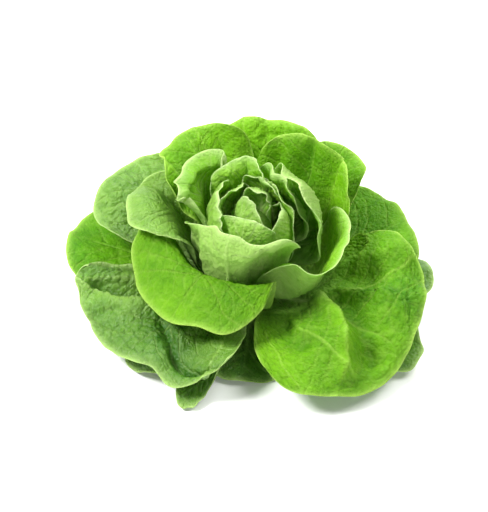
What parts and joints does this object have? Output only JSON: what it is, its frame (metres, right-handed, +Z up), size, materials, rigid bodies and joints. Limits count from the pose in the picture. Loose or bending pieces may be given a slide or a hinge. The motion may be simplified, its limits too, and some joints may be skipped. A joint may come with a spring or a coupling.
{
  "type": "butterhead lettuce",
  "caption": "Open head of butterhead lettuce: broad soft crinkled leaves spread around a loose cupped head and a tight pale heart on a short cut stem.",
  "frame": {"origin": "centre of the stem's flat cut face", "axes": "+Z up along the stem towards the heart, -Y the front, where the head opens and the two largest leaves spread, +X the viewer's right"},
  "size_m": [0.2888, 0.2523, 0.1188],
  "materials": {
    "outer_leaf": "satin",
    "inner_leaf": "satin",
    "heart_leaf": "satin",
    "stem_flesh": "matte"
  },
  "bodies": {
    "root": {"stem": "stem_flesh", "leaf_under_right": "outer_leaf", "leaf_under_front_right": "outer_leaf", "leaf_under_front": "outer_leaf", "leaf_under_front_left": "outer_leaf", "leaf_under_left": "outer_leaf", "leaf_under_back_left": "outer_leaf", "leaf_under_back": "outer_leaf", "leaf_under_back_right": "outer_leaf", "leaf_far_left": "outer_leaf", "leaf_back_left": "outer_leaf", "leaf_right_back": "outer_leaf", "leaf_back_right": "outer_leaf", "leaf_back": "outer_leaf", "leaf_crinkled_left": "outer_leaf", "leaf_fan_right": "outer_leaf", "leaf_scoop_left": "outer_leaf", "leaf_flap_left": "outer_leaf", "leaf_cup_back_left": "outer_leaf", "leaf_cup_right": "outer_leaf", "leaf_wrap_right": "inner_leaf", "leaf_pale_right": "inner_leaf", "leaf_wrap_front": "inner_leaf", "leaf_rolled_left": "inner_leaf", "leaf_tongue_right": "inner_leaf", "heart": "heart_leaf"}
  },
  "joints": []
}
